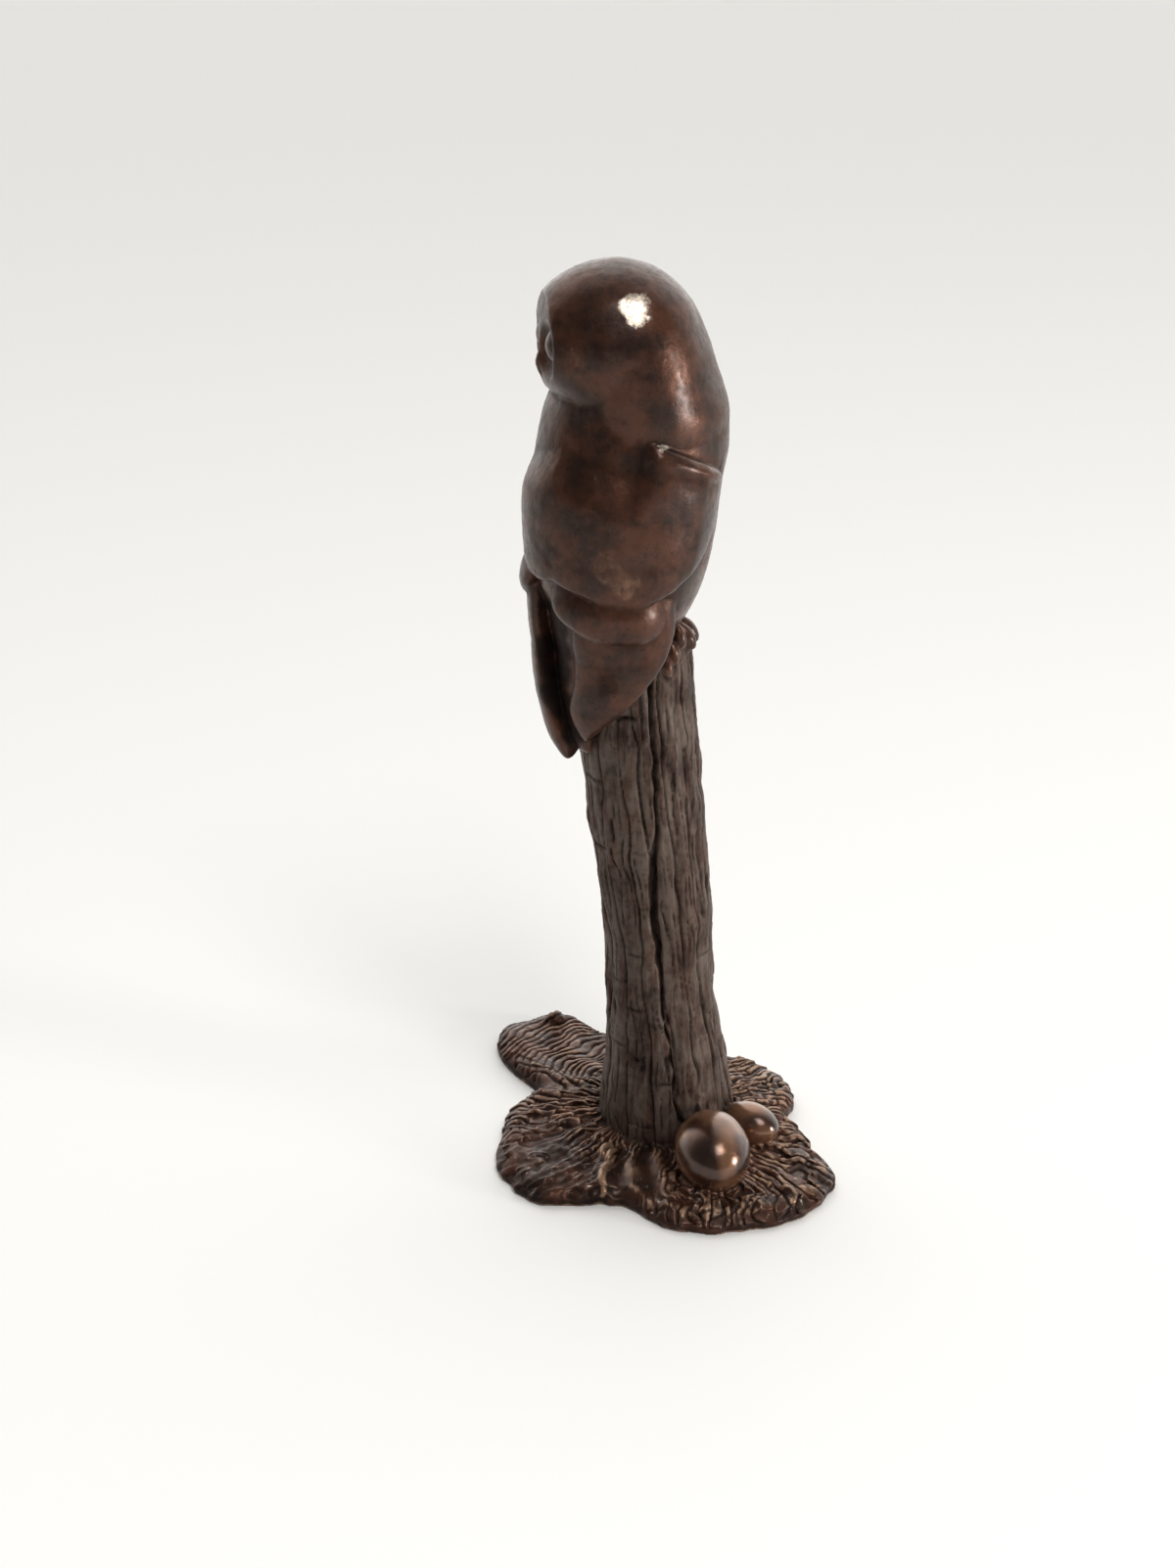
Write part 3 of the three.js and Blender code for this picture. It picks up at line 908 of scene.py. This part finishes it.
strokes = strokeTree()
stumpSkin, rootSkin = forms[0][1], forms[1][1]
share = stumpSkin[0][:, 2] / stump["height"]
onBark = ((share > 0.05) & (share < 0.93)).astype(float)
barkArea = 2 * math.pi * stump["meanRadius"] * stump["height"]
forms.append((stumpPart, strokesOver(strokes, "barkSlivers", stumpSkin, onBark, {
    "Density": stump["slivers"] / barkArea / metre ** 2, "Length": 0.0030, "Width": 0.00055,
    "Height": 0.00022, "Swing": 0.07, "Seed": 4, "Upright": True}, bronze)))
rootPoints = rootSkin[0]
heading = np.arctan2(rootPoints[:, 1], rootPoints[:, 0])
away = np.hypot(rootPoints[:, 0], rootPoints[:, 1])
shareOut = away / rimDistance(heading)
onTop = (rootPoints[:, 2] > 1.2) & (shareOut < 0.94) & (away > foot)
onTop = onTop & (frontHollow(rootPoints)[0] < 0.2) & (np.abs(np.degrees(heading) - roots["farLobe"]) > 24)
forms.append((rootPart, strokesOver(strokes, "rootStrokes", rootSkin, onTop.astype(float), {
    "Density": roots["strokes"] / roots["area"] / metre ** 2, "Length": 0.0011, "Width": 0.00027,
    "Height": 0.00026, "Swing": 0.5, "Seed": 9, "Upright": False}, bronze)))
print("forms:", len(forms))

# Joined into one skin.
starts = np.cumsum([0] + [len(shell[0]) for _, shell in forms])
allPoints = np.concatenate([shell[0] for _, shell in forms])
allFaces = np.concatenate([shell[1] + start for (_, shell), start in zip(forms, starts)])
allParts = np.concatenate([np.full(len(shell[0]), part) for part, shell in forms])
rough = objectFrom("roughCasting", meshFrom("roughCasting", allPoints, allFaces))
remesh = rough.modifiers.new("skin", "REMESH")
remesh.mode = "VOXEL"
remesh.voxel_size = casting["voxel"] * metre
remesh.adaptivity = 0
skin = plainMesh(rough)
bpy.data.objects.remove(rough)
print("skin:", len(skin.vertices), "points")

# Which part of the casting each point of the skin belongs to.
points, edges = readPoints(skin), readEdges(skin)
part = allParts[nearestOf(treeOf(allPoints), points)]
belongs = [relaxed((part == p).astype(float), edges, 4) for p in range(partCount)]
print("parts found")

# Softened as wax and casting leave it, most where the head runs into the back.
points = relaxed(points, edges, casting["filletRounds"])
fromHead = points - headMiddle
ahead = fromHead[:, 0] * math.cos(faceHeading) + fromHead[:, 1] * math.sin(faceHeading)
up = fromHead[:, 2]
nape = smooth(own(-17), own(-9), up) * (1 - smooth(own(8), own(20), up))
nape = nape * (1 - smooth(own(-1), own(11), ahead))
points = relaxed(points, edges, casting["neckRounds"], 0.5 * nape * (belongs[owlPart] + belongs[headPart]))
writePoints(skin, points)
normals = readNormals(skin)


# Relief, as a height over each point.
def barkRelief(points):
    share, height = points[:, 2] / stump["height"], points[:, 2]
    x, y = points[:, 0] - stumpMiddle(share), points[:, 1]
    heading = np.arctan2(y, x)
    girth = 2 * math.pi * stump["meanRadius"]
    columns = stump["columns"]
    drawn = np.stack([x, y, height * 0.3], -1)
    wander = 0.5 * noise(drawn, 3.6, 3) + 0.13 * noise(drawn, 0.8, 4)
    around = columns * (heading / (2 * math.pi) + 0.5) + wander
    edge, end, level = plates(around, height / stump["plateLength"] + 0.1 * wander, columns, 2)
    groove = np.exp(-(edge * girth / columns / stump["grooveWidth"]) ** 2)
    groove = groove * stump["grooveDepth"] * (0.65 + 0.7 * noise(drawn, 2.2, 6))
    breaks = stump["breakDepth"] * np.exp(-(end * stump["plateLength"] / stump["breakWidth"]) ** 2)
    breaks = breaks * smooth(0.7, 0.9, level)
    relief = stump["plateLift"] * (level - 0.5) * smooth(0, 0.06, end) - groove - breaks
    relief = relief - 0.05 * (1 - 2 * edge) ** 2
    fineAround = 3 * around + 0.3 * noise(drawn, 1.3, 7)
    fineEdge, fineEnd, fineLevel = plates(fineAround, height / stump["fineLength"], columns * 3, 5)
    dashes = smooth(0.04, 0.3, fineEnd) * smooth(0.5, 0.75, fineLevel)
    cuts = np.exp(-(fineEdge * 0.9 / stump["fineWidth"]) ** 2)
    cuts = (stump["fineDepth"] + stump["dashDepth"] * dashes) * cuts
    relief += 0.05 * (fineLevel - 0.5) * smooth(0, 0.1, fineEnd) - cuts
    relief += 0.06 * noise(np.stack([x, y, height * 0.13], -1), 0.4, 9) + 0.035 * noise(points, 0.5, 10)
    relief += 0.16 * noise(points, 3.2, 11)
    jag = 0.22 * noise(np.stack([height * 0, height, height * 0], -1), 1.7, 12)
    fromCrack = np.radians(np.degrees(heading) - readTable(crackRows, 1, share)) * stump["meanRadius"] + jag
    width = stump["crackWidth"] * (0.75 + 0.5 * np.exp(-((share - 0.55) / 0.14) ** 2))
    width = width * (1 - 0.75 * np.exp(-((share - 0.285) / 0.012) ** 2))
    relief -= stump["crackDepth"] * np.exp(-(fromCrack / width) ** 2)
    for chipShare, chipHeading, halfWide, halfHigh in chips:
        turn = np.mod(np.degrees(heading) - chipHeading + 180, 360) - 180
        away = (np.radians(turn) * stump["meanRadius"] / halfWide) ** 2
        away = away + ((share - chipShare) * stump["height"] / halfHigh) ** 2
        relief -= stump["chipDepth"] * np.exp(-away ** 2)
    return relief


def rootRelief(points):
    heading = np.arctan2(points[:, 1], points[:, 0])
    away = np.hypot(points[:, 0], points[:, 1])
    columns = roots["columns"]
    swirl = noise(points, 4.6, 31)
    broken = noise(points, 1.7, 45)
    around = columns * (heading / (2 * math.pi) + 0.5) + 2 * swirl + 0.75 * broken
    edge, end, level = plates(around, away / roots["lineLength"] + 0.6 * swirl, columns, 8)
    wide = 2 * math.pi * away / columns
    ridges = 0.26 * (level - 0.5) - (0.3 + 0.16 * broken) * np.exp(-(edge * wide / roots["lineWidth"]) ** 2)
    ridges -= 0.2 * np.exp(-(end * roots["lineLength"] / 0.16) ** 2) * (level > 0.3)
    # the far lobe's nested curved ridges
    lobe = smooth(10.5, 13.5, away) * np.exp(-((np.degrees(heading) - roots["farLobe"]) / 18) ** 4)
    ring = np.hypot(points[:, 0] + 4, points[:, 1] - 6) + 1.6 * swirl
    ring = ring + 0.5 * noise(points, 2.2, 49) + 0.25 * noise(points, 1.1, 38)
    nested = -(0.34 + 0.2 * broken) * np.exp(-((np.mod(ring, 1.0) - 0.5) / 0.14) ** 2)
    nested = nested + 0.12 * noise(points, 1.5, 34)
    relief = mix(ridges, nested, lobe) + 0.06 * noise(points, 0.5, 33) + 0.1 * noise(points, 1.6, 35)
    glints = smooth(11.5, 14.5, away) * np.exp(-((np.degrees(heading) - roots["nearLobe"]) / 27) ** 4)
    pebbly = 0.17 * noise(points, 0.95, 46) + 0.12 * noise(points, 0.55, 47) + 0.12 * noise(points, 2.4, 48)
    relief = mix(relief, pebbly - 0.05, 0.85 * glints)
    hollow, ridge = frontHollow(points)
    return mix(relief, -0.3 + 0.1 * noise(points, 2.4, 40), hollow * (1 - ridge)) + 0.38 * ridge


def featherRelief(points):
    hammered = np.abs(noise(points, 1.5, 42)) + 0.6 * np.abs(noise(points, 0.8, 44))
    return 0.07 * noise(points, 2.8, 41) + 0.045 * hammered + 0.012 * noise(points, 0.4, 43)


upward = smooth(0.1, 0.5, normals[:, 2])
relief = belongs[stumpPart] * barkRelief(points)
relief += belongs[rootPart] * rootRelief(points) * upward
relief += belongs[rootPart] * (1 - upward) * 0.06 * noise(points, 0.9, 51) * (normals[:, 2] > -0.5)
relief += (belongs[owlPart] + belongs[headPart]) * featherRelief(points)
relief += belongs[footPart] * 0.04 * noise(points, 0.8, 52)
relief += belongs[pebblePart] * 0.02 * noise(points, 1.6, 53)
points = points + normals * relief[:, None]
points[:, 2] = np.where(points[:, 2] < casting["floorSnap"][0], 0, points[:, 2])
writePoints(skin, points)
print("relief carved")

# Thinned to a working number of triangles.
dense = objectFrom("denseCasting", skin)
thin = dense.modifiers.new("thin", "DECIMATE")
thin.ratio = casting["triangles"] / (2 * len(skin.polygons))
thin.use_collapse_triangulate = True
finished = plainMesh(dense)
bpy.data.objects.remove(dense)
print("casting:", len(finished.polygons), "triangles")

# Kept inside the modelled size.
points, edges = readPoints(finished), readEdges(finished)
low, high = (np.array([v / metre for v in corner]) for corner in cadBox)
lowest, highest = points.min(0), points.max(0)
middle = (lowest + highest) / 2
points = (points - middle) * np.minimum(1, (high - low) / (highest - lowest)) + middle
points += np.maximum(0, low - points.min(0)) - np.maximum(0, points.max(0) - high)
points[:, 2] = np.where(points[:, 2] < casting["floorSnap"][1], 0, points[:, 2])
writePoints(finished, points)

# Hollows, worn edges, painted highlights and shade, and kinds of surface for the finish.
normals = readNormals(finished)
source = nearestOf(treeOf(readPoints(skin)), points)
standing = ((points - relaxed(points, edges, 3, 0.7)) * normals).sum(1)
standing -= relaxed(standing, edges, 60, 0.7)  # only what stands out from the form round it
stumpy, rooty, pebbly = (belongs[p][source] for p in (stumpPart, rootPart, pebblePart))
hollow = np.clip(-standing * (9 + 5 * stumpy + 2 * rooty), 0, 1)
worn = np.clip(standing * 12, 0, 1)
hollow, worn = relaxed(hollow, edges, 1), relaxed(worn, edges, 1)


def paint(name, values):
    finished.attributes.new(name, "FLOAT", "POINT").data.foreach_set("value", values.astype(np.float32))


def marked(kind):
    # 1 in the marks of this kind, with ragged edges
    drift = [0.35 * noise(points, 0.8, s) + 0.6 * noise(points, 1.9, s + 3) for s in (71, 72, 73)]
    ragged = points + np.stack(drift, -1)
    total = np.zeros(len(points))
    for *middle, radius in marks[kind]:
        total = np.maximum(total, 1 - smooth(0.75, 1.15, np.sqrt(((ragged - middle) ** 2).sum(1)) / radius))
    return total


# painted glints: small pale spots on the upward faces at the front of the base
sparks = smooth(0.4, 0.6, noise(points, 0.7, 62)) * smooth(-4, -9, points[:, 1]) * (normals[:, 2] > 0.3)
calm, ridge = frontHollow(points)
# painted light: the root lines are paler towards the right, the side the light comes from
paler = 0.72 + 0.34 * smooth(-6, 8, points[:, 0])  # the root lines are paler towards the right
# painted shade: dark dots at the pits, between and inside the blades and on the near blade, with a painted
# dark reflection on the back
shade = marked("pits") + 0.85 * marked("dark") + 0.42 * marked("reflectionAndShade")
paint("stumpy", stumpy)
# the patina's hollows, with the painted shade and dark reflection added
paint("hollow", np.clip(hollow + shade, 0, 1))
# worn high spots and the pale streaks, with the painted highlight on the cheek
paint("worn", worn * (1 - 0.7 * stumpy) + 0.55 * marked("streaksAndCheekHighlight"))
# painted highlights on the crown and the ridge, and small painted glints on the front of the base
paint("paintedHighlight", marked("paintedHighlight") * (1 - stumpy - rooty) + 0.62 * rooty * sparks)
paint("rooty", rooty * (worn * paler + ridge + 0.34 * calm))
paint("pebbly", pebbly)
# a copper colour on the pebbles, in patches and more towards their bottoms
paint("pebbleCopper", pebbly * 0.7 * smooth(-0.3, 0.35, noise(points, 2.2, 61) + 0.5 * smooth(6, 3, points[:, 2])))

finished.materials.clear()
finished.materials.append(bronze)
finished.polygons.foreach_set("use_smooth", np.ones(len(finished.polygons), bool))
owlCasting = objectFrom("owlCasting", finished)
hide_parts("bronze_owl_on_stump")
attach(owlCasting, "root")
print("finish painted")

# Camera.
view = {
    "place": (0, -213.252, 136.160),
    "forward": (-0.0393537, 0.9170806, -0.3967548),
    "fieldOfView": 40,
    "nearest": 0.01,
}
camera = bpy.data.objects.new("camera", bpy.data.cameras.new("camera"))
bpy.context.scene.collection.objects.link(camera)
forward = Vector(view["forward"]).normalized()
right = forward.cross(Vector((0, 0, 1))).normalized()
turnTo = Matrix((right, right.cross(forward), -forward)).transposed()
camera.matrix_world = Matrix.Translation(Vector(view["place"]) * metre) @ turnTo.to_4x4()
camera.data.sensor_fit = "VERTICAL"
camera.data.angle_y = math.radians(view["fieldOfView"])
camera.data.clip_start = view["nearest"]
bpy.context.scene.camera = camera

# Studio.
studio = {
    "floor": (0.92, 0.92, 0.91),
    "floorHalf": 9000,
    "room": (1, 0.985, 0.955),
    "sky": 1.95,            # brightness of the room behind
    "front": 0.14,          # and of the side that the viewer stands on
}
lamps = {
    "window": dict(place=(0.67, -0.21, 0.09), target=(0, 0, 0.01), width=0.1, height=0.18, power=2.8,
                   tint=(1, 0.98, 0.95)),
    "above": dict(place=(0.14, -0.28, 0.54), target=(0, 0, 0.08), width=0.24, height=0.26, power=1.55,
                  tint=(1, 0.98, 0.96)),
}


def floorMaterial():
    material = bpy.data.materials.new("paleTable")
    material.use_nodes = True
    shader = material.node_tree.nodes["Principled BSDF"]
    shader.inputs["Base Color"].default_value = (*studio["floor"], 1)
    shader.inputs["Roughness"].default_value = 0.6
    shader.inputs["Specular IOR Level"].default_value = 0.2
    return material


def floorSheet():
    half = studio["floorHalf"]
    corners = np.array([(-half, -half, 0), (half, -half, 0), (half, half, 0), (-half, half, 0)], float)
    mesh = meshFrom("paleFloor", corners, np.array([(0, 1, 2, 3)]))
    mesh.materials.append(floorMaterial())
    return objectFrom("paleFloor", mesh)


floorSheet()


def panel(name, place, target, width, height, power, tint):
    light = bpy.data.lights.new(name, "AREA")
    light.shape, light.size, light.size_y = "RECTANGLE", width, height
    light.energy, light.color = power, tint
    lamp = bpy.data.objects.new(name, light)
    bpy.context.scene.collection.objects.link(lamp)
    lamp.location = place
    lamp.rotation_euler = (Vector(target) - Vector(place)).to_track_quat("-Z", "Y").to_euler()


for name, lamp in lamps.items():
    panel(name, **lamp)


def whiteRoom():
    # bright walls and ceiling, dimmer on the side that the viewer stands on
    world = bpy.data.worlds.new("whiteRoom")
    world.use_nodes = True
    nodes, links = world.node_tree.nodes, world.node_tree.links
    way = nodes.new("ShaderNodeSeparateXYZ")
    links.new(nodes.new("ShaderNodeTexCoord").outputs["Generated"], way.inputs[0])
    depth = nodes.new("ShaderNodeMapRange")
    depth.interpolation_type = "SMOOTHSTEP"
    reach = {"From Min": -0.1, "From Max": 0.7, "To Min": studio["front"], "To Max": studio["sky"]}
    for name, value in reach.items():
        depth.inputs[name].default_value = value
    links.new(way.outputs["Y"], depth.inputs["Value"])
    links.new(depth.outputs["Result"], nodes["Background"].inputs["Strength"])
    nodes["Background"].inputs["Color"].default_value = (*studio["room"], 1)
    return world


bpy.context.scene.world = whiteRoom()
bpy.context.scene.view_settings.view_transform = "Standard"
print("studio lit")
